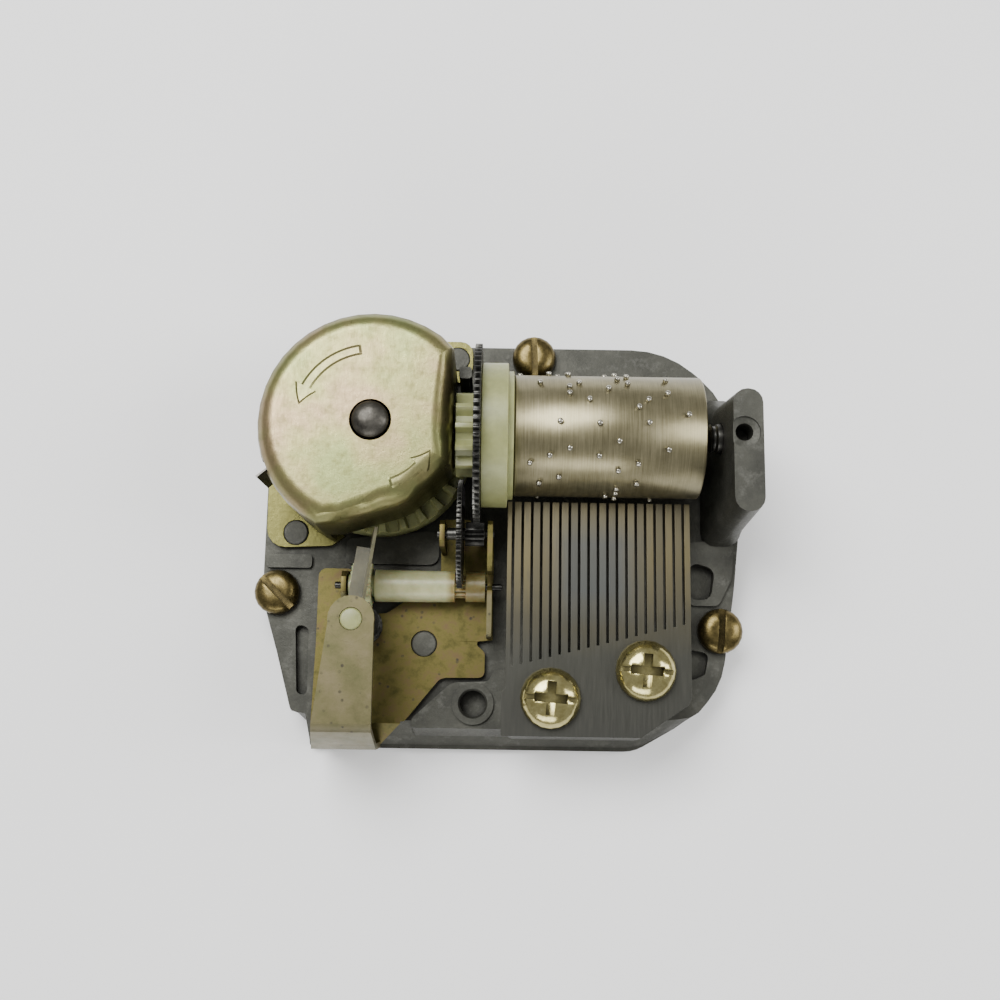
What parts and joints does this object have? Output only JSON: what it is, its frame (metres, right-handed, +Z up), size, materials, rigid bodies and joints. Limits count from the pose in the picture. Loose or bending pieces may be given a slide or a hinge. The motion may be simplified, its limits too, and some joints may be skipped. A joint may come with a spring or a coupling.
{
  "type": "wind up music box movement",
  "caption": "Bare wind-up musical movement: spring motor, pinned cylinder, steel comb, gear train and air-brake fan on a cast bedplate.",
  "frame": {"origin": "middle of the underside's bounding box, on the surface that the bedplate's rim rests on", "axes": "+X along the cylinder from the spring motor to the bearing post, +Y from the comb to the rear edge, +Z up"},
  "size_m": [0.05, 0.0432, 0.0205],
  "materials": {
    "zinc": "die-cast zinc, dark and mottled",
    "chromate": "drawn steel, yellow chromate",
    "dark_steel": "oiled steel",
    "spring_steel": "tempered strip",
    "nylon": "moulded cream nylon",
    "clear_nylon": "translucent moulded nylon",
    "cylinder_metal": "turned tube, satin",
    "brass": "worn plating",
    "comb_steel": "hardened steel, ground",
    "lead": "dull lead"
  },
  "bodies": {
    "movement_frame": {"bedplate": "zinc", "spring_housing": "chromate", "spring_cover": "dark_steel", "mainspring": "spring_steel", "bearing_screw": "dark_steel", "governor_bracket": "brass", "governor_top_bearing": "nylon", "worm_foot_bearing": "nylon", "comb": "comb_steel", "comb_screw_left": "brass", "comb_screw_right": "brass", "mounting_screw_rear": "brass", "mounting_screw_left": "brass", "mounting_screw_right": "brass", "tooth_weight_1": "lead", "tooth_weight_2": "lead", "tooth_weight_3": "lead", "tooth_weight_4": "lead", "tooth_weight_5": "lead", "tooth_weight_6": "lead", "tooth_weight_7": "lead", "tooth_weight_8": "lead"},
    "winding_set": {"winding_arbor": "dark_steel", "ratchet_wheel": "dark_steel", "arbor_retaining_ring": "spring_steel"},
    "drive_set": {"drive_gear": "nylon", "ratchet_click": "spring_steel"},
    "cylinder_set": {"cylinder_arbor": "dark_steel", "crown_pinion": "nylon", "cylinder_wheel": "dark_steel", "cylinder_hub": "nylon", "cylinder_shell": "cylinder_metal", "cylinder_end_cap": "brass"},
    "second_set": {"second_wheel": "dark_steel", "second_pinion": "dark_steel"},
    "governor_rod_set": {"governor_rod": "nylon", "governor_rod_pin": "dark_steel"},
    "fan_set": {"worm": "dark_steel", "fan": "clear_nylon"}
  },
  "joints": [
    {"name": "winding", "type": "hinge", "parent": "movement_frame", "child": "winding_set", "pos_m": [-0.01232, 0.00921, 0.01], "axis": [0, 0, 1], "range_deg": [0, 1440]},
    {"name": "cylinder_turn", "type": "hinge", "parent": "movement_frame", "child": "cylinder_set", "pos_m": [0.01002, 0.00921, 0.01155], "axis": [1, 0, 0], "continuous": true},
    {"name": "drive_turn", "type": "hinge", "parent": "movement_frame", "child": "drive_set", "pos_m": [-0.01232, 0.00921, 0.006], "axis": [0, 0, 1], "continuous": true},
    {"name": "second_turn", "type": "hinge", "parent": "movement_frame", "child": "second_set", "pos_m": [-0.00298, -0.00053, 0.01056], "axis": [1, 0, 0], "continuous": true},
    {"name": "governor_rod_turn", "type": "hinge", "parent": "movement_frame", "child": "governor_rod_set", "pos_m": [-0.00798, -0.00537, 0.00661], "axis": [1, 0, 0], "continuous": true},
    {"name": "fan_turn", "type": "hinge", "parent": "movement_frame", "child": "fan_set", "pos_m": [-0.01374, -0.00932, 0.01], "axis": [0, 0, 1], "continuous": true}
  ],
  "couplings": [
    {"joint": "drive_turn", "follows": "cylinder_turn", "ratio": 0.44444},
    {"joint": "second_turn", "follows": "cylinder_turn", "ratio": -8.75},
    {"joint": "governor_rod_turn", "follows": "cylinder_turn", "ratio": 45.208},
    {"joint": "fan_turn", "follows": "cylinder_turn", "ratio": 316.46}
  ]
}
